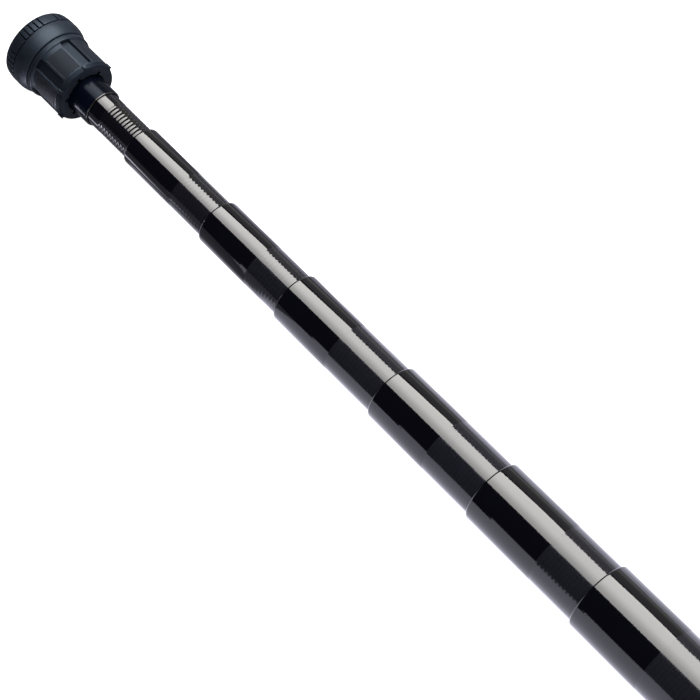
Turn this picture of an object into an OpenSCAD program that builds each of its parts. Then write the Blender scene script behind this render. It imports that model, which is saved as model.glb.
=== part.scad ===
// Telescopic boom pole for a microphone: eight carbon tubes one inside the other, a plastic head
// with a threaded stud, and a screw cap at the butt. Millimetres.
// The pole lies along X: the butt face is at the origin and the head points to +X.

/* [Tubes] */
// Outer diameter of the thinnest tube, next to the head
tube_first_od = 17; // [15:0.5:20]
// How much wider each tube is than the one inside it
tube_step = 2.5; // [2.3:0.1:3.5]
// Wall thickness of every tube
tube_wall = 1.0; // [0.8:0.05:1.0]
// Distance from the butt face to the mouth of the widest tube, which is the handle
handle_mouth = 600; // [400:10:900]
// Length of the bearing land inside each mouth
land_length = 38; // [20:1:60]
// Height of the lacquered band at each mouth over the bare tube
lacquer_step = 0.06; // [0.02:0.01:0.1]
// Chamfer on the outer edge of each mouth
mouth_chamfer = 0.5; // [0.2:0.1:0.8]

/* [Glide rings] */
// Length of the split ring at the butt of each sliding tube
glide_length = 36; // [20:1:50]
// Depth of the groove that holds the ring
glide_groove = 0.45; // [0.3:0.05:0.5]
// Width of the ring's split
glide_split = 1.6; // [1:0.1:3]

/* [Head] */
// Turn of the head about the pole, from a panel facing straight up towards -Y
head_turn = -13.5; // [-30:0.5:30]
// Turn of the locking ring about the pole, from a knurled group facing straight up
ring_turn = -11.5; // [-30:0.5:30]
// Outer diameter of the locking ring
ring_od = 37.2; // [34:0.2:42]
// Width of the locking ring
ring_width = 6.6; // [6:0.1:9]
// Diameter of the six-panel hub
hub_od = 31.5; // [29:0.1:33]
// Diameter of the collar at the front of the hub
collar_od = 33.6; // [33:0.1:34.6]
// Length of the hub
hub_length = 22.5; // [20:0.1:26]
// Length of the rounded bell between the hub and the locking ring, with both gaps
bell_length = 8.2; // [8:0.1:10]
// Diameter of the neck ferrule
neck_od = 19.2; // [19:0.1:21]
// How far the neck ferrule stands out behind the hub
neck_length = 12.5; // [12:0.1:20]
// Number of panels, and of slots between them
panel_count = 6; // [4:1:8]
// Width of one slot
slot_width = 5.3; // [3:0.1:6]
// Depth of one slot
slot_depth = 1.45; // [0.8:0.05:2]

/* [Microphone stud] */
// Major diameter of the 3/8 inch thread
stud_od = 9.525; // [9.525]
// How far the stud stands out of the locking ring
stud_out = 8.5; // [6:0.1:12]
// Width across the flats of the stud's hexagonal base
stud_hex = 13; // [12:0.5:14]

/* [Butt] */
// Diameter of the knurled screw cap
cap_od = 37.2; // [36:0.2:42]
// Width of the cap's knurled rim
cap_rim = 8; // [6:0.5:12]
// Thread length of the cap
cap_thread = 8.2; // [6:0.1:12]

/* [Hidden] */
$fn = 96;

running = 0.05; // radial clearance of a running fit
tube_count = 8;

// Bare length of each tube between its own mouth and the mouth behind it, thinnest first
exposed = [27, 54.5, 52, 62, 61, 61, 60];
// Length of the lacquered band at each mouth, thinnest first
lacquered = [6.5, 32.5, 31, 33.5, 33.5, 37, 36.5, 36.5];

// Butt end, from the rear
foot_thick = 2;
cap_x = foot_thick;
cap_front = cap_x + cap_rim;
flange_x = cap_front + 0.3;
flange_thick = 2.7;
handle_x = flange_x + flange_thick;
insert_length = 22;
insert_end = handle_x + insert_length;
insert_bore_r = 14.5;
o_ring_r = 0.85;
o_ring_major_r = 15.5;
damper_r = 13.9;
damper_front = insert_end + 3;
butt_x = damper_front + 0.5;
butt_collar = 2; // full-diameter end behind each glide ring's groove

// Places along the pole
neck_x = handle_mouth + sum_to(tube_count - 1); // mouth of the neck ferrule
hub_x = neck_x + neck_length;
bell_x = hub_x + hub_length;
ring_x = bell_x + bell_length;
face_x = ring_x + ring_width;
stud_tip_x = face_x + stud_out;

// Inside the head, measured from the hub's rear face
socket_end = hub_x + 6;
ferrule_end = hub_x + 12;
web_end = hub_x + 16;
hex_end = hub_x + 23;
tail_r = 4;
spigot_r = 12.5;
gap = 0.35;
boss_r = 12;
boss_end = ring_x + 3.1;
flange_end = ring_x + 1.7;
clip_x = flange_end + 0.15;
clip_thick = 0.9;
clip_groove_r = 11.2;
plate_r = 14;
plate_x = boss_end + 0.3;
plate_thick = 2.2;
pad_x = plate_x + plate_thick;
pad_thick = 0.8;
pin_r = 1;
pin_circle_r = 8.5;
pin_x = hub_x + 25;
pin_end = plate_x + plate_thick - 0.3;

// Total bare length of the first n sliding tubes, counted from the handle
function sum_to(n, i = 0) = i >= n ? 0 : exposed[tube_count - 2 - i] + sum_to(n, i + 1);
function tube_r(n) = (tube_first_od + tube_step * (n - 1)) / 2;
function bore_r(n) = tube_r(n) - tube_wall;
// Mouth of tube n; the neck ferrule is the mouth in front of tube 1
function mouth_x(n) = handle_mouth + sum_to(tube_count - n);

// Turns a shape drawn along Z so that it lies along the pole, starting at x
module along(x) translate([x, 0, 0]) rotate([0, 90, 0]) children();

// Solid of revolution about the pole, from [radius, x] points
module turned(points) along(0) rotate_extrude() polygon(points);

// Plain ring about the pole
module collar(x, length, outer, inner)
    turned([[inner, x], [outer, x], [outer, x + length], [inner, x + length]]);

// Torus about the pole
module torus(x, major, minor) along(x) rotate_extrude() translate([major, 0]) circle(minor);

// Repeats a shape about the pole, starting at straight up
module around(count, first = 0) {
    for (i = [0 : count - 1]) rotate([first + i * 360 / count, 0, 0]) children();
}

// Sliding tube: butt collar, groove for the glide ring, bare length, lacquered band and bearing land
module sliding_tube(n) {
    outer = tube_r(n);
    bare = outer - lacquer_step;
    bore = bore_r(n);
    front = mouth_x(n);
    start = butt_x + butt_collar;
    land = tube_r(n - 1) + running + 0.03;
    band = front - lacquered[n - 1];
    turned([
        [bore, butt_x], [bare, butt_x], [bare, start], [outer - glide_groove, start],
        [outer - glide_groove, start + glide_length], [bare, start + glide_length],
        [bare, band], [outer, band], [outer, front - mouth_chamfer], [outer - mouth_chamfer, front],
        [land, front], [land, front - land_length], [bore, front - land_length - 1],
    ]);
}

// Thinnest tube: its front end is bonded in the neck ferrule
module tube_1() {
    outer = tube_r(1);
    bare = outer - lacquer_step;
    start = butt_x + butt_collar;
    band = neck_x - lacquered[0];
    color([0.07, 0.07, 0.08])
    turned([
        [bore_r(1), butt_x], [bare, butt_x], [bare, start], [outer - glide_groove, start],
        [outer - glide_groove, start + glide_length], [bare, start + glide_length],
        [bare, band], [outer, band], [outer, socket_end], [bore_r(1), socket_end],
    ]);
}

module tube_2() color([0.06, 0.06, 0.07]) sliding_tube(2);
module tube_3() color([0.07, 0.07, 0.08]) sliding_tube(3);
module tube_4() color([0.06, 0.06, 0.07]) sliding_tube(4);
module tube_5() color([0.07, 0.07, 0.08]) sliding_tube(5);
module tube_6() color([0.06, 0.06, 0.07]) sliding_tube(6);
module tube_7() color([0.07, 0.07, 0.08]) sliding_tube(7);

// Widest tube, the handle: it holds the butt ferrule in place of a glide ring
module tube_8() {
    outer = tube_r(tube_count);
    bare = outer - lacquer_step;
    bore = bore_r(tube_count);
    land = tube_r(tube_count - 1) + running + 0.03;
    band = handle_mouth - lacquered[tube_count - 1];
    color([0.06, 0.06, 0.07])
    turned([
        [bore, handle_x], [bare, handle_x], [bare, band], [outer, band],
        [outer, handle_mouth - mouth_chamfer], [outer - mouth_chamfer, handle_mouth],
        [land, handle_mouth], [land, handle_mouth - land_length], [bore, handle_mouth - land_length - 1],
    ]);
}

// Split ring in the groove of tube n, running in the bore of the next tube
module glide_ring(n) {
    inner = tube_r(n) - glide_groove + running;
    outer = bore_r(n + 1) - running;
    start = butt_x + butt_collar + running;
    color([0.85, 0.84, 0.8])
    difference() {
        collar(start, glide_length - 2 * running, outer, inner);
        translate([start - 1, -glide_split / 2, 0]) cube([glide_length + 2, glide_split, outer + 1]);
    }
}

module glide_ring_1() glide_ring(1);
module glide_ring_2() glide_ring(2);
module glide_ring_3() glide_ring(3);
module glide_ring_4() glide_ring(4);
module glide_ring_5() glide_ring(5);
module glide_ring_6() glide_ring(6);
module glide_ring_7() glide_ring(7);

// Aluminium sleeve bonded on the thinnest tube, closed at the front by a tapped wall
module neck_ferrule() {
    outer = neck_od / 2;
    bevel = 0.5;
    color([0.12, 0.13, 0.15])
    turned([
        [tube_r(1), neck_x], [outer - bevel, neck_x], [outer, neck_x + bevel], [outer, ferrule_end],
        [tail_r, ferrule_end], [tail_r, socket_end], [tube_r(1), socket_end],
    ]);
}

// One slot cut lengthways in the hub, open to the outside only
module hub_slot() {
    front_margin = 3;
    rear_margin = 2.8;
    translate([hub_x + rear_margin, -slot_width / 2, hub_od / 2 - slot_depth])
        cube([hub_length - front_margin - rear_margin, slot_width, slot_depth + 2]);
}

// Small notch in the rear edge of the hub's bore
module hub_notch() translate([hub_x - 1, -0.8, 0]) cube([2.5, 1.6, neck_od / 2 + 1.4]);

// Small stop that stands up on the hub's rear edge, beside a slot
module hub_tab() {
    length = 2.6;
    width = 2;
    height = 0.4;
    translate([hub_x, -width / 2, hub_od / 2 - 1]) cube([length, width, 1 + height]);
}

// Drum with panels and slots, a collar at the front and a bevelled edge with tabs at the rear
module head_hub() {
    panel_r = hub_od / 2;
    collar_r = collar_od / 2;
    edge = 0.35;
    bevel = 0.9;
    bevel_end = hub_x + 2.3;
    mouth_r = neck_od / 2 + 0.4;
    front = bell_x - gap;
    color([0.2, 0.22, 0.25])
    rotate([head_turn, 0, 0])
    union() {
        difference() {
            turned([
                [mouth_r, hub_x], [panel_r - bevel, hub_x], [panel_r, bevel_end],
                [panel_r, front - 3.3], [collar_r, front - 2.5], [collar_r, front - edge],
                [collar_r - edge, front], [spigot_r, front], [spigot_r, web_end],
                [tail_r + running, web_end], [tail_r + running, ferrule_end],
                [neck_od / 2, ferrule_end], [neck_od / 2, hub_x + 2], [mouth_r, hub_x + 2],
            ]);
            around(panel_count, 180 / panel_count) hub_slot();
            around(panel_count) hub_notch();
        }
        around(panel_count, 180 / panel_count - 9) hub_tab();
    }
}

// Rounded bell: a spigot into the hub at the rear and a boss for the locking ring at the front
module bell_housing() {
    front = ring_x - gap;
    edge = 0.4;
    front_r = ring_od / 2;
    rear_r = collar_od / 2 + 0.4;
    swell = 0.5;
    steps = 8;
    profile = [
        for (i = [0 : steps]) [
            rear_r + (front_r - rear_r) * i / steps + swell * sin(180 * i / steps),
            bell_x + edge + (front - bell_x - 2 * edge) * i / steps,
        ],
    ];
    color([0.2, 0.22, 0.25])
    rotate([head_turn, 0, 0])
    difference() {
        turned(concat(
            [[0, web_end], [spigot_r, web_end], [spigot_r, bell_x], [rear_r - edge, bell_x]],
            profile,
            [
                [front_r - edge, front], [o_ring_major_r + o_ring_r, front],
                [o_ring_major_r + o_ring_r, front - 1.4], [o_ring_major_r - o_ring_r, front - 1.4],
                [o_ring_major_r - o_ring_r, front], [boss_r, front], [boss_r, clip_x - running],
                [clip_groove_r, clip_x - running], [clip_groove_r, clip_x + clip_thick + running],
                [boss_r, clip_x + clip_thick + running], [boss_r, boss_end], [0, boss_end],
            ]
        ));
        along(web_end - 1) cylinder(h = hex_end - web_end + 1, d = (stud_hex + 0.1) / cos(30), $fn = 6);
        along(web_end) cylinder(h = boss_end - web_end + 1, r = stud_od / 2 + 0.1);
        around(3) translate([0, 0, pin_circle_r]) along(pin_x)
            cylinder(h = boss_end - pin_x + 1, r = pin_r);
    }
}

// Grooves of one knurled group, cut along the ring's crowned rim
module knurl_group(count, pitch) {
    groove_r = 0.45;
    slope = 4.5;
    for (i = [0 : count - 1]) rotate([(i - (count - 1) / 2) * pitch, 0, 0])
        translate([ring_x - 1, 0, ring_od / 2 + 0.2]) rotate([0, 90 + slope, 0])
            cylinder(h = ring_width + 2, r = groove_r);
}

// Locking ring: turns on the bell's boss and drives the thrust plate by its inner thread
module lock_ring() {
    outer = ring_od / 2;
    color([0.17, 0.18, 0.2])
    rotate([ring_turn, 0, 0])
    difference() {
        turned([
            [boss_r + running, ring_x], [outer - 0.3, ring_x], [outer, ring_x + 0.3],
            [outer, ring_x + 0.3 * ring_width], [outer - 0.2, ring_x + 0.6 * ring_width],
            [outer - 0.5, ring_x + 0.85 * ring_width], [outer - 1.3, face_x],
            [plate_r + running, face_x], [plate_r + running, flange_end], [boss_r + running, flange_end],
        ]);
        around(6) knurl_group(5, 8.25);
    }
}

// Open retaining ring in the boss's groove, in front of the locking ring's flange
module circlip() {
    color([0.6, 0.61, 0.62])
    difference() {
        collar(clip_x, clip_thick, boss_r + 1.2, clip_groove_r);
        translate([clip_x - 1, -2, -boss_r - 3]) cube([clip_thick + 2, 4, boss_r]);
    }
}

// Drag seal between the bell and the locking ring
module ring_o_ring()
    color([0.05, 0.05, 0.05]) torus(ring_x - running - o_ring_r, o_ring_major_r, o_ring_r);

// Plate that the locking ring screws forward against the microphone mount
module thrust_plate() {
    color([0.75, 0.76, 0.77])
    rotate([head_turn, 0, 0])
    difference() {
        collar(plate_x, plate_thick, plate_r, stud_od / 2 + 0.25);
        around(3) translate([0, 0, pin_circle_r]) along(plate_x - 1)
            cylinder(h = plate_thick + 2, r = pin_r + running);
    }
}

// Friction washer on the thrust plate
module seat_pad() color([0.08, 0.08, 0.08]) collar(pad_x, pad_thick, 13, 5.6);

// Three dowels that stop the thrust plate from turning
module guide_pins() {
    color([0.7, 0.7, 0.72])
    rotate([head_turn, 0, 0])
    around(3) translate([0, 0, pin_circle_r]) along(pin_x) cylinder(h = pin_end - pin_x, r = pin_r);
}

// Stud: threaded front, hexagonal base held by the bell, and a tail screwed into the neck ferrule
module mic_stud() {
    thread_r = stud_od / 2;
    shank_r = thread_r - 0.6;
    thread_x = pad_x + pad_thick + 0.05;
    lead = 1;
    color([0.72, 0.72, 0.74])
    rotate([head_turn, 0, 0])
    union() {
        turned([
            [0, hex_end], [shank_r, hex_end], [shank_r, thread_x], [thread_r, thread_x],
            [thread_r, stud_tip_x - lead], [thread_r - lead, stud_tip_x], [0, stud_tip_x],
        ]);
        along(web_end) cylinder(h = hex_end - web_end, d = stud_hex / cos(30), $fn = 6);
        along(socket_end + 0.5) cylinder(h = web_end - socket_end - 0.5, r = tail_r);
    }
}

// Threaded insert bonded in the handle's rear end, with a flange and a seat for the seal
module butt_ferrule() {
    flange_r = tube_r(tube_count);
    insert_r = bore_r(tube_count);
    seat_depth = 2 * o_ring_r + 0.05;
    seat_r = o_ring_major_r + o_ring_r + running;
    color([0.13, 0.14, 0.16])
    turned([
        [insert_bore_r, flange_x + seat_depth], [seat_r, flange_x + seat_depth],
        [seat_r, flange_x], [flange_r - 0.4, flange_x],
        [flange_r, flange_x + 0.4], [flange_r, handle_x], [insert_r, handle_x],
        [insert_r, insert_end], [insert_bore_r, insert_end],
    ]);
}

// Knurled screw cap: a threaded spigot in front, a socket for the rubber foot behind
module butt_cap() {
    outer = cap_od / 2;
    edge = 0.8;
    spigot_end = cap_front + cap_thread + 2;
    stem_r = insert_bore_r - running;
    flutes = 36;
    color([0.13, 0.14, 0.16])
    difference() {
        turned([
            [0, cap_x + 3], [5, cap_x + 3], [5, cap_x], [outer - edge, cap_x], [outer, cap_x + edge],
            [outer, cap_front - edge], [outer - edge, cap_front], [stem_r, cap_front],
            [stem_r, spigot_end - 0.6], [stem_r - 0.6, spigot_end], [0, spigot_end],
        ]);
        around(flutes) translate([0, 0, outer + 0.25]) along(cap_x - 1)
            cylinder(h = cap_rim + 2, r = 0.6);
    }
}

// Seal behind the ferrule's flange; it travels with the cap
module butt_o_ring()
    color([0.05, 0.05, 0.05]) torus(flange_x + o_ring_r - 0.03, o_ring_major_r, o_ring_r);

// Foam disc on the cap that the sliding tubes rest against
module damper_disc() {
    start = cap_front + cap_thread + 2;
    color([0.25, 0.25, 0.27])
    turned([[0, start], [damper_r, start], [damper_r, damper_front], [0, damper_front]]);
}

// Rubber foot with a stem pushed into the cap
module rubber_foot() {
    foot_r = 14;
    color([0.06, 0.06, 0.06])
    turned([
        [0, 0], [foot_r - 1, 0], [foot_r, 1], [foot_r, cap_x],
        [5, cap_x], [5, cap_x + 3], [0, cap_x + 3],
    ]);
}

tube_1();
tube_2();
tube_3();
tube_4();
tube_5();
tube_6();
tube_7();
tube_8();
glide_ring_1();
glide_ring_2();
glide_ring_3();
glide_ring_4();
glide_ring_5();
glide_ring_6();
glide_ring_7();
neck_ferrule();
head_hub();
bell_housing();
lock_ring();
circlip();
ring_o_ring();
thrust_plate();
seat_pad();
guide_pins();
mic_stud();
butt_ferrule();
butt_cap();
butt_o_ring();
damper_disc();
rubber_foot();
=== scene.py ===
"""The looks of a telescopic boom pole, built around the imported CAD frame. Metres throughout.

Every round piece is a lathe: an outline of (x, radius) points turned about the pole's axis, with a
relief function that presses slots, flutes, threads and tape ridges into its skin.
An angle about the pole starts at straight up and grows towards -Y.
"""
from math import atan2, cos, hypot, pi, radians, sin, sqrt

import bmesh
import bpy
import numpy as np
from mathutils import Matrix, Vector


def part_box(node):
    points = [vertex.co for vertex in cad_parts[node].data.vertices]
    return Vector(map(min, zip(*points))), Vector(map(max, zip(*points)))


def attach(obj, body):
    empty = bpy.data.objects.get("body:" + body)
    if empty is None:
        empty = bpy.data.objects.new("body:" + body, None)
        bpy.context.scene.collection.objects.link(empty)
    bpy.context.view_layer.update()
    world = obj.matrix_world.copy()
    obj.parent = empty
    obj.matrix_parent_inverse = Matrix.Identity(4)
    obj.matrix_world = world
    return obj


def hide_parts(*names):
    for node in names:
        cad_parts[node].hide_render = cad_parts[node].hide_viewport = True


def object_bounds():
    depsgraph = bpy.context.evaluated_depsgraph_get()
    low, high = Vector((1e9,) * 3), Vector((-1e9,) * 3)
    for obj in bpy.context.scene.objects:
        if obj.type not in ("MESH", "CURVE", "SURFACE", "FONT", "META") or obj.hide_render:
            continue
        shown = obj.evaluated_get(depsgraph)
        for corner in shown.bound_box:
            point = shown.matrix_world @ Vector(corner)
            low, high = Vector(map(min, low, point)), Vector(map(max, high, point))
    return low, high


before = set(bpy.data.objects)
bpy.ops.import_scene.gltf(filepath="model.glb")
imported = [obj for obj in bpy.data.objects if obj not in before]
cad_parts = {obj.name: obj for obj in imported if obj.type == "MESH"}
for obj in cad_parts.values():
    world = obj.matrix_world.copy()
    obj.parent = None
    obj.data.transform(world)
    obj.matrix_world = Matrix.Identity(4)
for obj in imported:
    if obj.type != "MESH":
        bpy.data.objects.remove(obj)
cad_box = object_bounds()

MM = 0.001
TUBES = 8

# ---------------------------------------------------------------- places, from the frame


def low(node):
    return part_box(node)[0]


def high(node):
    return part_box(node)[1]


def radius(node):
    """Outer radius of a round node."""
    return (high(node).y - low(node).y) / 2


def tube_radius(n):
    return radius(f"tube_{n}")


def mouth(n):
    """Where tube n's mouth is; the neck ferrule is the mouth in front of tube 1."""
    return low("neck_ferrule").x if n == 0 else high(f"tube_{n}").x


HEAD_TURN = radians(-13.5)  # the head's first panel, from straight up
RING_TURN = radians(-11.5)  # the locking ring's first group of grooves
PANELS = 6
PANEL_PITCH = 2 * pi / PANELS
WALL = 0.95 * MM  # a little under the real 1 mm, so that the glide rings clear the bores
LACQUER_STEP = 0.06 * MM
LAND_LENGTH = 38 * MM  # the narrower bore behind each mouth, which guides the next tube
LACQUERED = [6.5, 32.5, 31, 33.5, 33.5, 37, 36.5, 36.5]  # lacquered band at each mouth, mm, thinnest first
TAPE_PITCH = 2.0 * MM
TAPE_RIDGE = [0.08, 0.024, 0.018, 0.006, 0.005, 0.004, 0.004, 0.004]  # half height of the tape ridges, mm

# ---------------------------------------------------------------- mesh making


def filleted(points, closed=True, steps=5):
    """Rounds the corners of an outline of (x, radius) or (x, radius, fillet) points."""
    out = []
    count = len(points)
    for i, point in enumerate(points):
        x, r = point[:2]
        fillet = point[2] if len(point) > 2 else 0
        ends = not closed and i in (0, count - 1)
        if fillet == 0 or ends:
            out.append((x, r))
            continue
        before, after = points[i - 1], points[(i + 1) % count]
        ax, ar = before[0] - x, before[1] - r
        bx, br = after[0] - x, after[1] - r
        la, lb = hypot(ax, ar), hypot(bx, br)
        cut = min(fillet, 0.49 * la, 0.49 * lb)
        start = (x + ax / la * cut, r + ar / la * cut)
        end = (x + bx / lb * cut, r + br / lb * cut)
        for k in range(steps + 1):
            t = k / steps
            out.append(tuple(
                (1 - t) ** 2 * s + 2 * t * (1 - t) * c + t ** 2 * e
                for s, c, e in zip(start, (x, r), end)
            ))
    return out


def divided(outline, x_from, x_to, step):
    """Adds stations every step along the outer stretches of an outline between two places."""
    out = []
    outer = max(r for x, r in outline) * 0.85
    for (xa, ra), (xb, rb) in zip(outline, outline[1:] + outline[:1]):
        out.append((xa, ra))
        lo, hi = max(min(xa, xb), x_from), min(max(xa, xb), x_to)
        if min(ra, rb) < outer or hi - lo <= step:
            continue
        count = int(round((hi - lo) / step))
        places = [lo + (hi - lo) * k / count for k in range(count + 1)]
        if xb < xa:
            places.reverse()
        out += [
            (x, ra + (rb - ra) * (x - xa) / (xb - xa))
            for x in places if abs(x - xa) > 1e-6 and abs(x - xb) > 1e-6
        ]
    return out


def even_angles(count):
    """Angles all the way round, evenly spaced."""
    return np.linspace(0, 2 * pi, count, endpoint=False)


def angles_with_detail(count, centres, half_width, fine):
    """Angles all the way round, with extra ones near each centre."""
    extra = [c + half_width * k / fine for c in centres for k in range(-fine, fine + 1)]
    all_angles = np.mod(np.concatenate([even_angles(count), extra]), 2 * pi)
    return np.unique(np.round(all_angles, 5))


def lathe(name, outline, angles, relief=None, closed=True):
    """Turns an outline about the pole. relief(x, r, angle) gives how far to raise the skin."""
    x = np.array([p[0] for p in outline])[:, None]
    r = np.array([p[1] for p in outline])[:, None]
    a = np.asarray(angles)[None, :]
    skin = r + relief(x, r, a) if relief else r + 0 * a
    skin = np.where(r < 1e-7, 0, skin)
    verts = np.stack([x + 0 * a, -skin * np.sin(a), skin * np.cos(a)], axis=-1).reshape(-1, 3)
    rows, cols = len(outline), a.size
    i = np.arange(rows if closed else rows - 1)[:, None]
    j = np.arange(cols)[None, :]
    here, along = i * cols, ((i + 1) % rows) * cols
    right = (j + 1) % cols
    faces = np.stack([here + j, along + j, along + right, here + right], axis=-1).reshape(-1, 4)
    mesh = bpy.data.meshes.new(name)
    mesh.from_pydata(verts.tolist(), [], faces.tolist())
    piece = bpy.data.objects.new(name, mesh)
    bpy.context.collection.objects.link(piece)
    weld(mesh)
    return piece


def weld(mesh):
    """Joins points that fell together on the axis, turns the faces outwards and shades them."""
    bm = bmesh.new()
    bm.from_mesh(mesh)
    bmesh.ops.remove_doubles(bm, verts=bm.verts, dist=1e-7)
    bmesh.ops.recalc_face_normals(bm, faces=bm.faces)
    bm.to_mesh(mesh)
    bm.free()
    mesh.shade_smooth()
    mesh.set_sharp_from_angle(angle=radians(42))


def place(piece, body, slot, materials, *nodes):
    """Puts materials on a piece, rides it on its body and lets it stand for its CAD nodes."""
    for material in materials:
        piece.data.materials.append(material)
    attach(piece, body)
    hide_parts(*nodes)


def smooth_step(t):
    """0 below 0, 1 above 1 and a smooth rise between."""
    t = np.clip(t, 0, 1)
    return t * t * (3 - 2 * t)


def band(value, start, end, soft):
    """1 between start and end, falling to 0 over a soft edge inside them."""
    return smooth_step((value - start) / soft) * smooth_step((end - value) / soft)


def from_nearest(angle, first, pitch):
    """Signed angle from the nearest of a set of evenly pitched directions."""
    return np.mod(angle - first + pitch / 2, pitch) - pitch / 2


# ---------------------------------------------------------------- materials


def new_material(name):
    """A new material with its node tree and its main shader."""
    material = bpy.data.materials.new(name)
    material.use_nodes = True
    tree = material.node_tree
    return material, tree, tree.nodes["Principled BSDF"]


def node(tree, kind, inputs=None, **settings):
    """Adds a shader node; inputs are values or sockets."""
    made = tree.nodes.new(kind)
    for key, value in settings.items():
        setattr(made, key, value)
    for key, value in (inputs or {}).items():
        socket = made.inputs[key]
        if isinstance(value, bpy.types.NodeSocket):
            tree.links.new(value, socket)
        else:
            socket.default_value = value
    return made


def math_node(tree, operation, a, b=0.0):
    return node(tree, "ShaderNodeMath", {0: a, 1: b}, operation=operation).outputs[0]


def noise(tree, vector, scale, detail=3.0, roughness=0.55):
    """Cloudy noise from 0 to 1."""
    return node(
        tree, "ShaderNodeTexNoise",
        {"Vector": vector, "Scale": scale, "Detail": detail, "Roughness": roughness},
    ).outputs["Fac"]


def object_place(tree, stretch=(1, 1, 1)):
    """The piece's own coordinates, stretched."""
    coordinates = node(tree, "ShaderNodeTexCoord").outputs["Object"]
    return node(tree, "ShaderNodeMapping", {"Vector": coordinates, "Scale": stretch}).outputs[0]


def spread(tree, value, lowest, highest):
    """Maps 0..1 onto a range."""
    return node(
        tree, "ShaderNodeMapRange", {"Value": value, "To Min": lowest, "To Max": highest}
    ).outputs[0]


def two_colours(tree, value, dark, light):
    """Mixes two colours by a value from 0 to 1."""
    mix = node(tree, "ShaderNodeMix", data_type="RGBA")
    tree.links.new(value, mix.inputs["Factor"])
    mix.inputs[6].default_value = (*dark, 1)
    mix.inputs[7].default_value = (*light, 1)
    return mix.outputs[2]


def bump(tree, height, distance, strength=1.0, normal=None):
    """Fine relief, on top of another one if its normal is given."""
    inputs = {"Height": height, "Distance": distance, "Strength": strength}
    if normal:
        inputs["Normal"] = normal
    return node(tree, "ShaderNodeBump", inputs).outputs[0]


def tape_lines(tree, wander):
    """A wave along the pole at the tape's pitch, whose lines wander by a share of it."""
    along = node(tree, "ShaderNodeSeparateXYZ", {"Vector": object_place(tree)}).outputs["X"]
    drift = noise(tree, object_place(tree, (60, 260, 260)), 1.0, 2.0)
    turns = math_node(tree, "MULTIPLY", along, 1 / TAPE_PITCH)
    turns = math_node(tree, "ADD", turns, math_node(tree, "MULTIPLY", drift, wander))
    return math_node(tree, "SINE", math_node(tree, "MULTIPLY", turns, 2 * pi))


def lacquered_carbon():
    """Gloss lacquer over black carbon: faint tape lines under a hard, clear surface."""
    material, tree, shader = new_material("lacquered_carbon")
    cloud = noise(tree, object_place(tree), 90, 4)
    tree.links.new(
        two_colours(tree, cloud, (0.001, 0.001, 0.0028), (0.0026, 0.0024, 0.0056)),
        shader.inputs["Base Color"],
    )
    smudge = noise(tree, object_place(tree, (30, 90, 90)), 1.0, 5)
    tree.links.new(spread(tree, smudge, 0.035, 0.085), shader.inputs["Roughness"])
    shader.inputs["IOR"].default_value = 1.5
    lines = tape_lines(tree, 1.3)
    ripple = noise(tree, object_place(tree, (420, 160, 160)), 1.0, 2)
    fine = bump(tree, ripple, 0.00003)
    tree.links.new(bump(tree, lines, 0.0000022, normal=fine), shader.inputs["Normal"])
    return material


def bare_carbon(name, ridge, grey):
    """Sanded carbon with the print of its tape: same black, but hazier and greyer."""
    material, tree, shader = new_material(name)
    fibres = noise(tree, object_place(tree, (200, 900, 900)), 1.0, 4)
    lines = tape_lines(tree, 0.5)
    tone = math_node(tree, "ADD", math_node(tree, "MULTIPLY", lines, 0.12), fibres)
    tree.links.new(
        two_colours(tree, tone, tuple(c * 0.7 for c in grey), tuple(c * 1.35 for c in grey)),
        shader.inputs["Base Color"],
    )
    tree.links.new(spread(tree, fibres, 0.07, 0.14), shader.inputs["Roughness"])
    shader.inputs["IOR"].default_value = 1.48
    weave = bump(tree, fibres, 0.00001)
    tree.links.new(bump(tree, lines, ridge, normal=weave), shader.inputs["Normal"])
    return material


def moulded_plastic(name, dark, light, roughness, shine=0.3, grain=0.00004, tint=(1, 1, 1)):
    """Moulded plastic with a fine spark-eroded grain and slightly uneven tone."""
    material, tree, shader = new_material(name)
    cloud = noise(tree, object_place(tree), 160, 4)
    tree.links.new(two_colours(tree, cloud, dark, light), shader.inputs["Base Color"])
    tree.links.new(spread(tree, cloud, roughness - 0.05, roughness + 0.06), shader.inputs["Roughness"])
    shader.inputs["Specular IOR Level"].default_value = shine
    shader.inputs["Specular Tint"].default_value = (*tint, 1)
    pits = noise(tree, object_place(tree), 3200, 2)
    tree.links.new(bump(tree, pits, grain, 0.6), shader.inputs["Normal"])
    return material


def turned_metal(
    name, dark, light, roughness, groove=0.000012, metallic=1.0, shine=0.5, tint=(1, 1, 1),
):
    """Metal turned on a lathe: fine rings about the pole in tone, gloss and relief."""
    material, tree, shader = new_material(name)
    rings = noise(tree, object_place(tree, (6000, 40, 40)), 1.0, 3)
    cloud = noise(tree, object_place(tree), 120, 3)
    tree.links.new(two_colours(tree, cloud, dark, light), shader.inputs["Base Color"])
    tree.links.new(spread(tree, rings, roughness - 0.06, roughness + 0.08), shader.inputs["Roughness"])
    shader.inputs["Metallic"].default_value = metallic
    shader.inputs["Specular IOR Level"].default_value = shine
    shader.inputs["Specular Tint"].default_value = (*tint, 1)
    tree.links.new(bump(tree, rings, groove, 0.5), shader.inputs["Normal"])
    return material


def rubber(name, tone, scale, depth):
    """Matte rubber or foam: dull, with a pebbled or open-celled skin."""
    material, tree, shader = new_material(name)
    cells = node(
        tree, "ShaderNodeTexVoronoi", {"Vector": object_place(tree), "Scale": scale}
    ).outputs["Distance"]
    tree.links.new(
        two_colours(tree, cells, tuple(c * 0.6 for c in tone), tone), shader.inputs["Base Color"]
    )
    tree.links.new(spread(tree, cells, 0.7, 0.9), shader.inputs["Roughness"])
    shader.inputs["Specular IOR Level"].default_value = 0.25
    tree.links.new(bump(tree, cells, depth), shader.inputs["Normal"])
    return material


LACQUER = lacquered_carbon()
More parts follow.
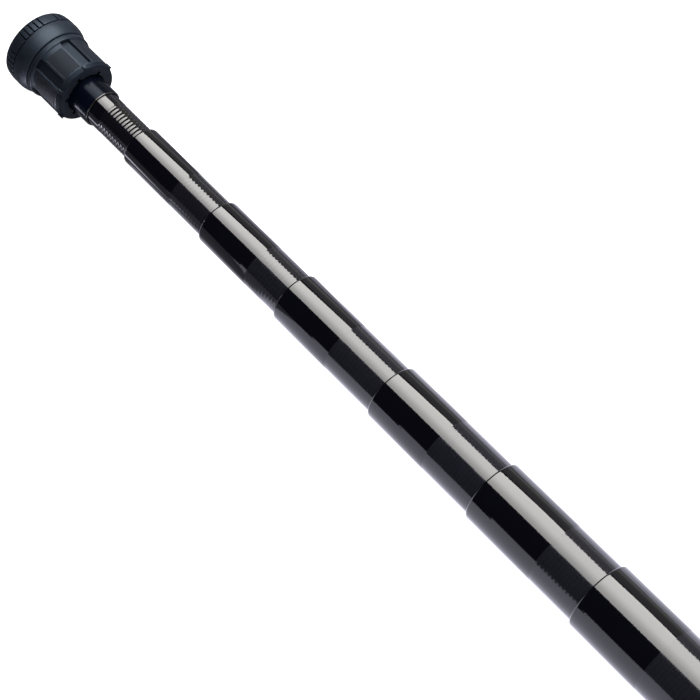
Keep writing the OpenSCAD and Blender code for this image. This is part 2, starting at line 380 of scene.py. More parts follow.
# depth of the tape print and tone of each tube's bare carbon, thinnest tube first
BARE_LOOKS = [(0.00001, 0.0042), (0.000006, 0.0085), (0.000005, 0.011)] + [(0.000003, 0.012)] * 5
BARE = [
    bare_carbon(f"bare_carbon_{n}", ridge, (tone, tone * 0.98, tone * 1.5))
    for n, (ridge, tone) in enumerate(BARE_LOOKS, start=1)
]
PLASTIC = moulded_plastic(
    "head_plastic", (0.0036, 0.0058, 0.0112), (0.0053, 0.0083, 0.0147), 0.46,
    shine=0.26, tint=(0.7, 0.85, 1.0),
)
PAD = moulded_plastic(
    "pad_plastic", (0.0046, 0.0061, 0.0102), (0.007, 0.0088, 0.0136), 0.6,
    shine=0.15, grain=0.00009, tint=(0.8, 0.9, 1.0),
)
ANODISED = turned_metal(
    "anodised_aluminium", (0.0012, 0.0022, 0.0068), (0.002, 0.0034, 0.0095), 0.19,
    groove=0.000004, metallic=0.0, shine=0.068, tint=(0.72, 0.86, 1.0),
)
# a darker, duller copy of the head plastic: painted shade in the ring's grooves, on the hub's rear bevel
# and round its bore
SHADED_PLASTIC = moulded_plastic(
    "shaded_plastic", (0.0036, 0.0056, 0.0104), (0.005, 0.0077, 0.0132), 0.55,
    shine=0.1, tint=(0.7, 0.85, 1.0),
)
# a lighter copy of the head plastic: painted light on the hub's flat rear face
LIT_REAR_PLASTIC = moulded_plastic(
    "lit_rear_plastic", (0.01, 0.0125, 0.0205), (0.0135, 0.0168, 0.0276), 0.55,
    shine=0.2, tint=(0.7, 0.85, 1.0),
)
LIP = turned_metal(
    "turned_lip", (0.008, 0.007, 0.006), (0.016, 0.014, 0.012), 0.16,
    groove=0.000004, metallic=0.0,
)
ALUMINIUM = turned_metal("bare_aluminium", (0.6, 0.61, 0.62), (0.75, 0.76, 0.77), 0.32)
STEEL = turned_metal("stud_steel", (0.42, 0.42, 0.43), (0.6, 0.6, 0.61), 0.28)
SPRING = turned_metal("spring_steel", (0.2, 0.2, 0.21), (0.35, 0.35, 0.36), 0.35)
ACETAL = moulded_plastic(
    "glide_plastic", (0.62, 0.6, 0.55), (0.74, 0.72, 0.67), 0.4, shine=0.4, grain=0.00001,
)
SEAL = rubber("seal_rubber", (0.02, 0.02, 0.021), 900, 0.00001)
SEAT = rubber("seat_rubber", (0.035, 0.035, 0.036), 1400, 0.00003)
FOOT = rubber("foot_rubber", (0.03, 0.03, 0.032), 1100, 0.00003)
FOAM = rubber("damper_foam", (0.09, 0.09, 0.095), 1600, 0.0002)

# ---------------------------------------------------------------- tubes

RIBS_HIDDEN = 12 * MM  # how far the ribs go on inside the next mouth
RIBS_ON_HANDLE = 47 * MM  # the handle is ribbed this far only, to keep its mesh small


def tape_relief(ridge, start, end, skin):
    """Helical ridges left by the winding tape on the bare skin between two places."""
    def raised(x, r, angle):
        turn = 2 * pi * x / TAPE_PITCH - angle
        # the inner cosine leans each ridge to one side
        wave = np.cos(turn + 0.6 * np.cos(turn))
        return ridge * (wave - 1) * band(x, start, end, 0.3 * MM) * (r > skin)
    return raised


def tube_outline(n):
    """Outline of tube n from the butt along the outside to the mouth and back along the bore."""
    box_low, box_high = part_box(f"tube_{n}")
    outer = tube_radius(n)
    bare, bore = outer - LACQUER_STEP, outer - WALL
    start, front = box_low.x, box_high.x
    edge = mouth(0) if n == 1 else front
    band_start = edge - LACQUERED[n - 1] * MM
    points = [(start, bore, 0.2 * MM), (start, bare, 0.3 * MM)]
    if n < TUBES:
        ring_low, ring_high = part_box(f"glide_ring_{n}")
        seat = outer - 0.45 * MM
        points += [(ring_low.x - 0.05 * MM, bare), (ring_low.x - 0.05 * MM, seat)]
        points += [(ring_high.x + 0.05 * MM, seat), (ring_high.x + 0.05 * MM, bare)]
    points += [(band_start - 0.15 * MM, bare), (band_start, outer)]
    if n == 1:
        return points + [(front, outer), (front, bore)], band_start
    land = tube_radius(n - 1) + 0.08 * MM
    points += [
        (front - 0.75 * MM, outer, 0.45 * MM), (front - 0.1 * MM, outer - 0.55 * MM, 0.3 * MM),
        (front, land, 0.12 * MM), (front - LAND_LENGTH, land), (front - LAND_LENGTH - MM, bore),
    ]
    return points, band_start


def lacquer(piece, band_start, outer):
    """Lacquers a tube's skin from the start of its band to the mouth."""
    faces = piece.data.polygons
    centres = np.empty(len(faces) * 3)
    faces.foreach_get("center", centres)
    centres = centres.reshape(-1, 3)
    reach = np.hypot(centres[:, 1], centres[:, 2])
    glossy = (centres[:, 0] > band_start - 0.1 * MM) & (reach > outer - 0.9 * MM)
    faces.foreach_set("material_index", glossy.astype(np.int32))


def make_tube(n):
    """Carbon tube, ribbed where it shows behind its lacquered band and plain further in."""
    points, band_start = tube_outline(n)
    ridged_from = mouth(n + 1) - RIBS_HIDDEN if n < TUBES else band_start - RIBS_ON_HANDLE
    outer = tube_radius(n)
    outline = divided(filleted(points), ridged_from, band_start, TAPE_PITCH / 10)
    outline = divided(outline, low(f"tube_{n}").x, ridged_from, 20 * MM)
    ridge = TAPE_RIDGE[n - 1] * MM
    relief = tape_relief(ridge, ridged_from, band_start - 0.4 * MM, outer - 0.1 * MM)
    piece = lathe(f"carbon_tube_{n}", outline, even_angles(144), relief)
    body = "handle" if n == TUBES else f"section_{n}"
    place(piece, body, "carbon_tube", [BARE[n - 1], LACQUER], f"tube_{n}")
    lacquer(piece, band_start, outer)


for tube in range(1, TUBES + 1):
    make_tube(tube)

# ---------------------------------------------------------------- head

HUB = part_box("head_hub")
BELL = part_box("bell_housing")
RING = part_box("lock_ring")
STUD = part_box("mic_stud")
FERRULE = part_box("neck_ferrule")
NECK_RADIUS = radius("neck_ferrule")
SPIGOT = 12.5 * MM  # radius of the bell's spigot, which sits in the hub
BOSS, BOSS_BORE = 12 * MM, 4.87 * MM  # radii of the bell's boss, which carries the ring
TAIL = 4 * MM  # radius of the stud's tail, which sits in the ferrule
HEX_FLATS, HEX_LENGTH, HEX_ROOM = 6.5 * MM, 7 * MM, 0.05 * MM  # the stud's base in the bell
GAP = 0.35 * MM  # the dark joints on both sides of the bell


def make_neck():
    """Ferrule with a rolled, brighter rear lip."""
    back, front = FERRULE[0].x, FERRULE[1].x
    socket_end = high("tube_1").x
    inner, outer = tube_radius(1), NECK_RADIUS
    points = [
        (back, inner + 0.02 * MM, 0.05 * MM), (back, outer - 0.45 * MM, 0.25 * MM),
        (back + 0.55 * MM, outer, 0.3 * MM), (front, outer, 0.3 * MM), (front, TAIL),
        (socket_end, TAIL), (socket_end, inner + 0.02 * MM),
    ]
    piece = lathe("neck_sleeve", filleted(points), even_angles(160))
    place(piece, "section_1", "anodised_aluminium", [ANODISED, LIP], "neck_ferrule")
    for face in piece.data.polygons:
        if face.center.x < back + 0.4 * MM and face.center.yz.length > inner + 0.25 * MM:
            face.material_index = 1


HUB_RADIUS = 15.75 * MM
HUB_BEVEL, HUB_BEVEL_LENGTH = 0.9 * MM, 2.3 * MM
SLOT_WIDTH, SLOT_DEPTH = 5.3 * MM, 1.45 * MM
SLOT_FROM, SLOT_TO = HUB[0].x + 2.8 * MM, HUB[1].x - 2.65 * MM
PAD_FROM, PAD_TO, PAD_HALF = HUB[0].x + 2.7 * MM, HUB[1].x - 5.1 * MM, 4.6 * MM
PAD_SINK = 0.08 * MM
NOTCH_HALF, NOTCH_DEPTH, NOTCH_LENGTH = 0.9 * MM, 1.8 * MM, 1.4 * MM
TAB_TURN = HEAD_TURN + PANEL_PITCH / 2 - radians(9)
TAB_LENGTH, TAB_HALF, TAB_HEIGHT = 2.6 * MM, 1.0 * MM, 0.4 * MM


def hub_relief(x, r, angle):
    """Slots with flat floors, a sunk pad in each panel, stops at the rear edge, notches at the neck."""
    on_skin = r > HUB_RADIUS - HUB_BEVEL - 0.1 * MM
    from_slot = from_nearest(angle, HEAD_TURN + PANEL_PITCH / 2, PANEL_PITCH)
    from_panel = from_nearest(angle, HEAD_TURN, PANEL_PITCH)
    from_tab = from_nearest(angle, TAB_TURN, PANEL_PITCH)
    soft = 0.25 * MM
    across = band(from_slot * HUB_RADIUS, -SLOT_WIDTH / 2, SLOT_WIDTH / 2, soft)
    floor = (HUB_RADIUS - SLOT_DEPTH) / np.cos(from_slot)
    slot = across * band(x, SLOT_FROM, SLOT_TO, soft) * (floor - r)
    pad = band(from_panel * HUB_RADIUS, -PAD_HALF, PAD_HALF, soft)
    pad = -PAD_SINK * pad * band(x, PAD_FROM, PAD_TO, soft)
    tab = band(from_tab * HUB_RADIUS, -TAB_HALF, TAB_HALF, soft) * (x < HUB[0].x + TAB_LENGTH)
    tab = tab * (HUB_RADIUS + TAB_HEIGHT - r)
    notch = NOTCH_DEPTH * band(from_panel * NECK_RADIUS, -NOTCH_HALF, NOTCH_HALF, soft)
    bore_edge = (r < NECK_RADIUS + 0.75 * MM) & (x < HUB[0].x + NOTCH_LENGTH)
    return np.where(on_skin, slot + pad + tab, 0) + np.where(bore_edge, notch, 0)


def edge_angles(first, half_width, half_reach, fine):
    """Close angles about both edges of a feature that repeats at each panel."""
    centres = [
        first + PANEL_PITCH * k + side * half_width / HUB_RADIUS
        for k in range(PANELS) for side in (-1, 1)
    ]
    return angles_with_detail(1, centres, half_reach, fine)


def make_hub():
    """Drum with six panels between the neck and the bell, with a collar in front."""
    back, front = HUB[0].x, HUB[1].x
    collar = radius("head_hub")
    mouth_radius = NECK_RADIUS + 0.4 * MM
    ferrule_front, web_front = FERRULE[1].x, BELL[0].x
    points = [
        (back, mouth_radius, 0.25 * MM), (back, mouth_radius + 2.2 * MM),
        (back, HUB_RADIUS - HUB_BEVEL, 0.6 * MM), (back + HUB_BEVEL_LENGTH, HUB_RADIUS, 0.25 * MM),
        (back + TAB_LENGTH - 0.01 * MM, HUB_RADIUS), (back + TAB_LENGTH + 0.1 * MM, HUB_RADIUS),
        (front - 3.3 * MM, HUB_RADIUS, 0.3 * MM), (front - 2.5 * MM, collar, 0.35 * MM),
        (front, collar, 0.45 * MM), (front, SPIGOT), (web_front, SPIGOT), (web_front, TAIL + 0.05 * MM),
        (ferrule_front, TAIL + 0.05 * MM), (ferrule_front, NECK_RADIUS), (back + 2 * MM, NECK_RADIUS),
        (back + 2 * MM, mouth_radius), (back + 1.3 * MM, mouth_radius),
    ]
    # close stations where the slots and pads begin and end, wide ones between
    slots_begun, slots_ending = back + 3.3 * MM, front - 5.6 * MM
    outline = divided(filleted(points), back + 2.55 * MM, slots_begun, 0.08 * MM)
    outline = divided(outline, slots_ending, front - 2 * MM, 0.08 * MM)
    outline = divided(outline, slots_begun, slots_ending, 0.8 * MM)
    angles = np.unique(np.concatenate([
        even_angles(180),
        edge_angles(HEAD_TURN + PANEL_PITCH / 2, SLOT_WIDTH / 2, radians(1.2), 7),
        edge_angles(HEAD_TURN, PAD_HALF, radians(1.1), 4),
        edge_angles(TAB_TURN, TAB_HALF, radians(1.0), 4),
        edge_angles(HEAD_TURN, 0, radians(6), 12),
    ]))
    piece = lathe("hub_drum", outline, angles, hub_relief)
    place(piece, "section_1", "head_plastic", [PLASTIC, PAD, SHADED_PLASTIC, LIT_REAR_PLASTIC], "head_hub")
    paint_hub(piece)


def paint_hub(piece):
    """Gives the pads a plastic of their own; paints shade on the rear bevel and round the bore with the
    darker copy of the plastic, and paints light on the flat rear face with the lighter copy.
    """
    bevel_end = HUB[0].x + HUB_BEVEL_LENGTH - 0.3 * MM
    for face in piece.data.polygons:
        x, reach = face.center.x, face.center.yz.length
        angle = atan2(-face.center.y, face.center.z)
        away = abs(float(from_nearest(angle, HEAD_TURN, PANEL_PITCH))) * HUB_RADIUS
        inside = PAD_FROM + 0.1 * MM < x < PAD_TO - 0.1 * MM
        if inside and away < PAD_HALF - 0.15 * MM and reach > HUB_RADIUS - 0.4 * MM:
            face.material_index = 1
        # painted light and shade: the flat rear face takes the lighter copy, the bevel and the faces round
        # the bore the darker one
        if x < bevel_end and reach < HUB_RADIUS + 0.1 * MM:
            flat = abs(face.normal.x) > 0.95 and reach > NECK_RADIUS + 1.0 * MM
            face.material_index = 3 if flat else 2


def hexagon(angle, flats):
    """How far a hexagon stands out beyond the circle inside it."""
    return flats / np.cos(from_nearest(angle, HEAD_TURN, pi / 3)) - flats


def socket_relief(x, r, angle):
    """Makes the bell's inner socket hexagonal."""
    socket = HEX_FLATS + HEX_ROOM
    return np.where(np.abs(r - socket) < 0.05 * MM, hexagon(angle, socket), 0)


def make_bell():
    """Rounded bell with a spigot behind and a grooved boss in front."""
    back = HUB[1].x + GAP
    front = RING[0].x - GAP
    widest, front_radius = radius("bell_housing"), radius("lock_ring")
    rear_radius = front_radius - 1.4 * MM
    swell = 0.5 * MM
    steps = 24
    edge = 0.4 * MM
    side = []
    for k in range(steps + 1):
        reach = rear_radius + (front_radius - rear_radius) * k / steps + swell * sin(pi * k / steps)
        side.append((back + edge + (front - back - 2 * edge) * k / steps, min(reach, widest)))
    spigot_end, boss_end = BELL[0].x, BELL[1].x
    clip_low, clip_high = low("circlip").x - 0.05 * MM, high("circlip").x + 0.05 * MM
    clip_floor = 11.2 * MM
    seal_top, seal_back = radius("ring_o_ring"), front - 1.4 * MM
    seal_floor = seal_top - 1.7 * MM
    socket, socket_end = HEX_FLATS + HEX_ROOM, spigot_end + HEX_LENGTH
    points = [
        (spigot_end, socket), (spigot_end, SPIGOT), (back, SPIGOT),
        (back, rear_radius - edge, 0.2 * MM), *side, (front, front_radius - edge, 0.2 * MM),
        (front, seal_top), (seal_back, seal_top), (seal_back, seal_floor), (front, seal_floor),
        (front, BOSS), (clip_low, BOSS), (clip_low, clip_floor), (clip_high, clip_floor),
        (clip_high, BOSS), (boss_end, BOSS, 0.2 * MM), (boss_end, BOSS_BORE),
        (socket_end, BOSS_BORE), (socket_end, socket),
    ]
    piece = lathe("bell", filleted(points), even_angles(180), socket_relief)
    place(piece, "section_1", "head_plastic", [PLASTIC], "bell_housing")


RING_RADIUS = radius("lock_ring")
RING_CAVITY = 14.05 * MM
KNURLS, KNURL_PITCH = 5, radians(8.25)  # grooves in a group
KNURL_HALF, KNURL_DEPTH, KNURL_SLOPE = 0.42 * MM, 0.7 * MM, 0.079


def knurl_centres():
    """Angles of all the grooves in the ring's rim."""
    return [
        RING_TURN + PANEL_PITCH * group + (k - (KNURLS - 1) / 2) * KNURL_PITCH
        for group in range(PANELS) for k in range(KNURLS)
    ]


def rim_top(x):
    """Height from which the grooves are cut."""
    return RING_RADIUS + 0.2 * MM - KNURL_SLOPE * (x - RING[0].x + MM)


def ring_relief(x, r, angle):
    """Six groups of round-bottomed grooves across the rim, sloping gently with its crown."""
    in_group = from_nearest(angle, RING_TURN, PANEL_PITCH)
    near = from_nearest(in_group, 0, KNURL_PITCH)
    grouped = np.abs(in_group) < KNURL_PITCH * (KNURLS / 2)
    bowl = np.sqrt(np.clip(1 - (near * RING_RADIUS / KNURL_HALF) ** 2, 0, 1))
    floor = np.where(bowl > 0, rim_top(x) - 0.3 * MM - KNURL_DEPTH * bowl, RING_RADIUS)
    return np.where(grouped & (r > floor), floor - r, 0)


def make_ring():
    """Crowned ring with an inner flange that turns on the bell's boss."""
    back, front = RING[0].x, RING[1].x
    width, outer = front - back, RING_RADIUS
    flange, flange_end = BOSS + 0.05 * MM, back + 1.7 * MM
    points = [
        (back, flange), (back, outer, 0.4 * MM), (back + 0.3 * width, outer, 1.2 * MM),
        (back + 0.6 * width, outer - 0.2 * MM, 1.2 * MM), (back + 0.85 * width, outer - 0.5 * MM, 0.8 * MM),
        (front, outer - 1.3 * MM, 0.25 * MM), (front, RING_CAVITY, 0.3 * MM),
        (flange_end, RING_CAVITY), (flange_end, flange),
    ]
    outline = divided(filleted(points), back + 0.4 * MM, front - 0.2 * MM, 0.7 * MM)
    angles = angles_with_detail(180, knurl_centres(), radians(1.3), 7)
    piece = lathe("grip_ring", outline, angles, ring_relief)
    place(piece, "lock_ring", "head_plastic", [PLASTIC, SHADED_PLASTIC], "lock_ring")
    paint_grooves(piece)


def paint_grooves(piece):
    """Paints shade into the floors of the ring's grooves with the darker copy of the plastic."""
    back, front = RING[0].x, RING[1].x
    for face in piece.data.polygons:
        x, reach = face.center.x, face.center.yz.length
        inside = back + 0.5 * MM < x < front - 0.4 * MM
        # painted shade: the groove floors take the darker copy of the plastic
        if inside and RING_CAVITY < reach < rim_top(x) - 0.55 * MM:
            face.material_index = 1


THREAD_PITCH = 25.4 / 16 * MM
STUD_RADIUS = 4.7625 * MM  # 3/8 inch


def stud_relief(x, r, angle):
    """A right-hand thread in front, and the hexagonal base behind."""
    thread_from, base_end = high("seat_pad").x, BELL[0].x + HEX_LENGTH
    turn = np.mod(x / THREAD_PITCH + angle / (2 * pi), 1)
    flank = np.clip(np.abs(turn - 0.5) * 2.6 - 0.3, 0, 0.75) / 0.75
    run_in = smooth_step((x - thread_from) / MM)
    thread = -0.8 * MM * flank * run_in * (r > 3.7 * MM)
    on_base = (x < base_end + 1e-6) & (r > HEX_FLATS - 0.1 * MM)
    return np.where(on_base, hexagon(angle, HEX_FLATS), np.where(x > thread_from, thread, 0))


def make_stud():
    """Steel stud: threaded front, hexagonal base in the bell and a plain tail in the neck."""
    back, front = STUD[0].x, STUD[1].x
    shank = STUD_RADIUS - 0.6 * MM
    base_from, base_end = BELL[0].x, BELL[0].x + HEX_LENGTH
    thread_from = high("seat_pad").x
    thread_length = front - 1.1 * MM - thread_from
    steps = 100
    thread = [(thread_from + thread_length * k / steps, STUD_RADIUS) for k in range(steps + 1)]
    points = [
        (back, 0), (back, TAIL - 0.4 * MM), (back + 0.4 * MM, TAIL), (base_from, TAIL),
        (base_from, HEX_FLATS), (base_end, HEX_FLATS), (base_end, shank),
        (thread_from - 0.02 * MM, shank), *thread,
        (front - 0.15 * MM, STUD_RADIUS - MM, 0.15 * MM), (front, 3.1 * MM), (front, 0),
    ]
    outline = filleted(points, closed=False)
    piece = lathe("threaded_stud", outline, even_angles(120), stud_relief, closed=False)
    place(piece, "section_1", "stud_steel", [STEEL], "mic_stud")


def make_seat_pad():
    """Friction washer with raised concentric ribs."""
    back, front = low("seat_pad").x, high("seat_pad").x
    outer, inner = radius("seat_pad"), 5.6 * MM
    ribs = 9
    points = [(back, inner), (back, outer, 0.1 * MM), (front - 0.2 * MM, outer, 0.15 * MM)]
    for k in range(ribs):
        at = outer - 0.5 * MM - (outer - inner - MM) * k / (ribs - 1)
        points += [(front, at + 0.15 * MM, 0.08 * MM), (front, at - 0.15 * MM, 0.08 * MM)]
        points += [(front - 0.2 * MM, at - 0.28 * MM)] if k < ribs - 1 else []
    points += [(front - 0.2 * MM, inner, 0.1 * MM)]
    piece = lathe("friction_washer", filleted(points, steps=3), even_angles(120))
    place(piece, "thrust_plate", "seat_rubber", [SEAT], "seat_pad")


make_neck()
make_hub()
make_bell()
make_ring()
make_stud()
make_seat_pad()

# ---------------------------------------------------------------- butt

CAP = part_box("butt_cap")
FLUTES = 36
CAP_PITCH = 1.5 * MM
CAP_THREAD = 14.45 * MM  # outer radius of the spigot's thread
FOOT_STEM = 5 * MM


def cap_relief(x, r, angle):
    """Round flutes across the rim of the screw cap, and a thread on its spigot."""
    outer = radius("butt_cap")
    rim_end = low("butt_ferrule").x - 0.2 * MM
    near = from_nearest(angle, 0, 2 * pi / FLUTES) * outer
    floor = outer - 0.4 * MM * np.sqrt(np.clip(1 - (near / (0.62 * MM)) ** 2, 0, 1))
    flute = np.where((r > floor) & (x < rim_end), floor - r, 0)
    turn = np.mod(x / CAP_PITCH + angle / (2 * pi), 1)
    thread = -0.55 * MM * np.clip(np.abs(turn - 0.5) * 2.4 - 0.2, 0, 1)
    on_spigot = (x > rim_end + 0.6 * MM) & (x < CAP[1].x - 0.8 * MM) & (r > 14.2 * MM)
    return flute + np.where(on_spigot, thread, 0)


def make_cap():
    """Fluted screw cap with a threaded spigot in front and a socket for the foot behind."""
    back, front = CAP[0].x, CAP[1].x
    outer = radius("butt_cap")
    rim_end = low("butt_ferrule").x - 0.3 * MM
    socket_end = high("rubber_foot").x
    steps = 90
    thread_from, thread_length = rim_end + 0.4 * MM, front - rim_end - 0.9 * MM
    thread = [(thread_from + thread_length * k / steps, CAP_THREAD) for k in range(steps + 1)]
    points = [
        (socket_end, 0), (socket_end, FOOT_STEM), (back, FOOT_STEM, 0.2 * MM),
        (back, outer, 1.0 * MM), (rim_end, outer, 0.7 * MM), (rim_end, CAP_THREAD), *thread,
        (front, CAP_THREAD - 0.6 * MM), (front, 0),
    ]
    outline = filleted(points, closed=False)
    centres = [2 * pi * k / FLUTES for k in range(FLUTES)]
    angles = angles_with_detail(144, centres, radians(2), 6)
    piece = lathe("screw_cap", outline, angles, cap_relief, closed=False)
    place(piece, "butt_cap", "anodised_aluminium", [ANODISED], "butt_cap")


def make_foot():
    """Rubber foot with two grip grooves round its face."""
    back, front = low("rubber_foot").x, high("rubber_foot").x
    outer, flange = radius("rubber_foot"), CAP[0].x
    points = [(back, 0)]
    for at in (6 * MM, 10 * MM):
        points += [(back, at - 0.7 * MM, 0.15 * MM), (back + 0.6 * MM, at - 0.35 * MM, 0.15 * MM)]
        points += [(back + 0.6 * MM, at + 0.35 * MM, 0.15 * MM), (back, at + 0.7 * MM, 0.15 * MM)]
    points += [(back, outer, 0.9 * MM), (flange, outer, 0.1 * MM)]
    points += [(flange, FOOT_STEM), (front, FOOT_STEM), (front, 0)]
    piece = lathe("foot", filleted(points, closed=False), even_angles(120), closed=False)
    place(piece, "butt_cap", "foot_rubber", [FOOT], "rubber_foot")


def make_butt_ferrule():
    """Flanged insert with a threaded bore and a seat for the seal."""
    back, front = low("butt_ferrule").x, high("butt_ferrule").x
    outer, insert, bore = tube_radius(TUBES), tube_radius(TUBES) - WALL, 14.5 * MM
    handle = low("tube_8").x
    seat_end, seat = back + 1.75 * MM, 16.4 * MM
    points = [
        (seat_end, bore), (seat_end, seat), (back, seat, 0.1 * MM), (back, outer, 0.4 * MM),
        (handle, outer, 0.1 * MM), (handle, insert), (front, insert, 0.4 * MM),
        (front, bore, 0.3 * MM),
    ]
    piece = lathe("threaded_insert", filleted(points), even_angles(144))
    place(piece, "handle", "anodised_aluminium", [ANODISED], "butt_ferrule")


make_cap()
make_foot()
make_butt_ferrule()

# ---------------------------------------------------------------- CAD nodes that stay


def dress(name, material):
    """Gives a CAD node its material."""
    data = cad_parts[name].data
    data.materials.clear()
    data.materials.append(material)


for number in range(1, TUBES):
    dress(f"glide_ring_{number}", ACETAL)
for name, material in {
    "circlip": SPRING, "guide_pins": SPRING, "ring_o_ring": SEAL, "butt_o_ring": SEAL,
    "thrust_plate": ALUMINIUM, "damper_disc": FOAM,
}.items():
    dress(name, material)

# ---------------------------------------------------------------- studio

TILT = radians(21.5)  # how far the view leans from straight above the pole towards +Y
FOOT_X = mouth(7) - 198.2 * MM  # the place on the pole that is nearest the camera
DISTANCE = 0.819
GAZE = radians(67.054)  # between the line of sight and the pole
SWING = radians(0.036)
ROLL = radians(-0.454)
DIAGONAL = radians(45 - 0.058)  # the pole's slope across the picture
FOCAL_LENGTH = 108.84
FLOOR_Z = cad_box[0].z


def make_camera():
    """Camera at the photo's viewing angle, with the pole running down to the right."""
    along = Vector((1, 0, 0))
    towards = Vector((0, sin(TILT), cos(TILT)))
    across = along.cross(towards)
    gaze = cos(GAZE) * along - sin(GAZE) * towards
    gaze = (cos(SWING) * gaze + sin(SWING) * across).normalized()
    to_tip = (along - along.dot(gaze) * gaze).normalized()
    side = to_tip.cross(-gaze)
    down_pole = cos(ROLL) * -to_tip + sin(ROLL) * side
    off_pole = -sin(ROLL) * -to_tip + cos(ROLL) * side
    right = cos(DIAGONAL) * down_pole + sin(DIAGONAL) * off_pole
    up = -sin(DIAGONAL) * down_pole + cos(DIAGONAL) * off_pole
    data = bpy.data.cameras.new("camera")
    data.lens = FOCAL_LENGTH
    data.sensor_width = 36
    data.clip_end = 50
    camera = bpy.data.objects.new("camera", data)
    bpy.context.collection.objects.link(camera)
    turn = Matrix((right, up, -gaze)).transposed()
    camera.matrix_world = Matrix.Translation(FOOT_X * along + DISTANCE * towards) @ turn.to_4x4()
    bpy.context.scene.camera = camera


def sheet(name, corners, material):
    """A flat stage piece with the given corners."""
    mesh = bpy.data.meshes.new(name)
    mesh.from_pydata(corners, [], [tuple(range(len(corners)))])
    mesh.materials.append(material)
    made = bpy.data.objects.new(name, mesh)
    bpy.context.collection.objects.link(made)
    return made


def square(reach):
    """Corners of a square on the ground, centred on the origin."""
    return [(x * reach, y * reach, FLOOR_Z) for x, y in ((-1, -1), (1, -1), (1, 1), (-1, 1))]


def make_floor():
    """Pale floor, lit a little from within like a light table so that shadows stay faint."""
    material, tree, shader = new_material("pale_floor")
    speckle = noise(tree, object_place(tree), 40, 4)
    tone = two_colours(tree, speckle, (0.83, 0.83, 0.83), (0.86, 0.86, 0.86))
    tree.links.new(tone, shader.inputs["Base Color"])
    shader.inputs["Roughness"].default_value = 0.9
    shader.inputs["Specular IOR Level"].default_value = 0.0
    shader.inputs["Emission Color"].default_value = (1, 1, 1, 1)
    shader.inputs["Emission Strength"].default_value = 0.9
    floor = sheet("floor", square(12), material)
    floor.visible_glossy = False
    floor.visible_diffuse = False


def glow_material(name, tint=(1.0, 0.985, 0.955)):
    """An empty light-giving material, its own coordinates and a place to plug in the strength."""
    material = bpy.data.materials.new(name)
    material.use_nodes = True
    tree = material.node_tree
    tree.nodes.clear()
    coordinates = node(tree, "ShaderNodeTexCoord").outputs["Object"]
    axes = node(tree, "ShaderNodeSeparateXYZ", {"Vector": coordinates}).outputs
    light = node(tree, "ShaderNodeEmission", {"Color": (*tint, 1)})
    output = node(tree, "ShaderNodeOutputMaterial")
    tree.links.new(light.outputs[0], output.inputs["Surface"])
    return material, tree, axes, light.inputs["Strength"]


def ramp(tree, value, start, end, first, last):
    """Changes smoothly from first to last as the value goes from start to end."""
    return node(tree, "ShaderNodeMapRange", {
        "Value": value, "From Min": start, "From Max": end, "To Min": first, "To Max": last,
    }, interpolation_type="SMOOTHSTEP").outputs[0]


def glowing(name, strength_near, strength_far, axis, start, end):
    """Light-giving sheet that changes evenly in brightness along one axis."""
    material, tree, axes, strength = glow_material(name)
    tree.links.new(ramp(tree, axes[axis], start, end, strength_near, strength_far), strength)
    return material


def floor_glow():
    """What the pole mirrors below it: white by the thick tubes, dim by the thin ones but for one line."""
    material, tree, axes, strength = glow_material("floor_glow", (0.97, 0.96, 1.14))
    x, y, z = axes["X"], axes["Y"], axes["Z"]
    # the border between white and dim leans a little across the floor
    beyond = math_node(tree, "MAXIMUM", math_node(tree, "SUBTRACT", y, 0.1), 0.0)
    lean = math_node(tree, "MULTIPLY", y, 0.2)
    lean = math_node(tree, "ADD", lean, math_node(tree, "MULTIPLY", beyond, 0.1))
    skewed = math_node(tree, "SUBTRACT", x, lean)
    # away from the pole the white ends at the thin tubes; under it a softer white goes further
    far = ramp(tree, skewed, 0.856, 0.866, 1.65, 0.3)
    near = math_node(tree, "MULTIPLY", ramp(tree, y, 0.031, 0.018, 0.0, 1.0),
                     ramp(tree, skewed, 0.950, 0.957, 0.85, 0.3))
    # one line beside the pole, brighter towards the head, where it ends
    from_line = math_node(tree, "ABSOLUTE", math_node(tree, "SUBTRACT", y, 0.0375))
    thin = math_node(tree, "ADD", ramp(tree, skewed, 0.905, 0.965, 0.0, 4.4),
                     ramp(tree, skewed, 0.989, 0.998, 0.0, 11.0))
    thin = math_node(tree, "MULTIPLY", thin, ramp(tree, x, 1.013, 1.022, 1.0, 0.0))
    line = math_node(tree, "MULTIPLY", ramp(tree, from_line, 0.003, 0.007, 1.0, 0.0), thin)
    glow = math_node(tree, "ADD", math_node(tree, "MAXIMUM", far, near), line)
    # up the wall it fades
    faded = math_node(tree, "MULTIPLY", glow, ramp(tree, z, 0.22, 0.46, 1.0, 0.0))
    tree.links.new(faded, strength)
    return material


def mirrored_only(obj):
    """Seen in reflections and by nothing else."""
    obj.visible_camera = False
    obj.visible_diffuse = False
    obj.visible_shadow = False
    obj.visible_transmission = False


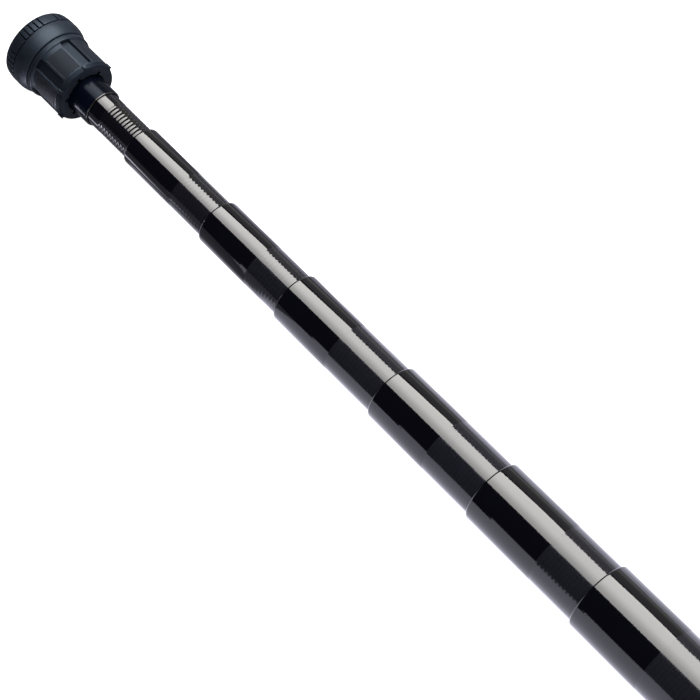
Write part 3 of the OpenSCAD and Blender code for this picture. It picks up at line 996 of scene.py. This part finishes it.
def make_softbox():
    """Sheet overhead that gives the tubes their long highlight."""
    height = 1.2
    near, far = 0.235, -1.42
    left = -0.6
    edge = [(1.5, near), (2.02, near - 0.06), (2.02, -1.15), (1.5, -1.22), (0.85, far)]
    corners = [(left, near), *edge, (left, far)]
    mirrored_only(sheet(
        "overhead_softbox", [(x, y, height) for x, y in corners],
        glowing("softbox_glow", 7.0, 13.0, "Y", near, -0.55),
    ))


def upright(y, start, end, bottom, top):
    """Corners of a wall that runs along the pole."""
    return [(start, y, bottom), (end, y, bottom), (end, y, top), (start, y, top)]


def make_walls():
    """Dim wall on the far side, and a floor card with a low wall on the near side."""
    far_wall = upright(-1.9, -4, 6, 0.02, 1.45)
    mirrored_only(sheet("far_wall", far_wall, glowing("wall_glow", 1.05, 0.43, "Z", 0.0, 0.6)))
    below = floor_glow()
    reach, horizon = 3, 0.47
    start, end = -reach, 1.45  # only the thick tubes mirror the near wall
    mirrored_only(sheet("floor_card", square(reach), below))
    mirrored_only(sheet("near_wall", upright(reach, start, end, FLOOR_Z, horizon), below))


def make_key():
    """One wide soft lamp that never shows in reflections."""
    sun = bpy.data.lights.new("soft_key", "SUN")
    sun.energy = 1.6
    sun.angle = radians(75)
    key = bpy.data.objects.new("soft_key", sun)
    bpy.context.collection.objects.link(key)
    key.rotation_euler = Vector((0.25, -0.45, 1)).to_track_quat("Z", "Y").to_euler()
    key.visible_glossy = False


def make_world():
    """Even pale light on everything, but near black in reflections, as in a dark studio."""
    world = bpy.data.worlds.new("studio")
    world.use_nodes = True
    tree = world.node_tree
    tree.nodes.clear()
    path = node(tree, "ShaderNodeLightPath")
    pale = node(tree, "ShaderNodeBackground", {"Color": (1, 1, 1, 1), "Strength": 0.5})
    dark = node(tree, "ShaderNodeBackground", {"Color": (0.8, 0.8, 1, 1), "Strength": 0.04})
    mix = node(tree, "ShaderNodeMixShader")
    tree.links.new(path.outputs["Is Glossy Ray"], mix.inputs[0])
    tree.links.new(pale.outputs[0], mix.inputs[1])
    tree.links.new(dark.outputs[0], mix.inputs[2])
    output = node(tree, "ShaderNodeOutputWorld")
    tree.links.new(mix.outputs[0], output.inputs["Surface"])
    bpy.context.scene.world = world


make_camera()
make_floor()
make_softbox()
make_walls()
make_key()
make_world()
bpy.context.scene.view_settings.view_transform = "Standard"
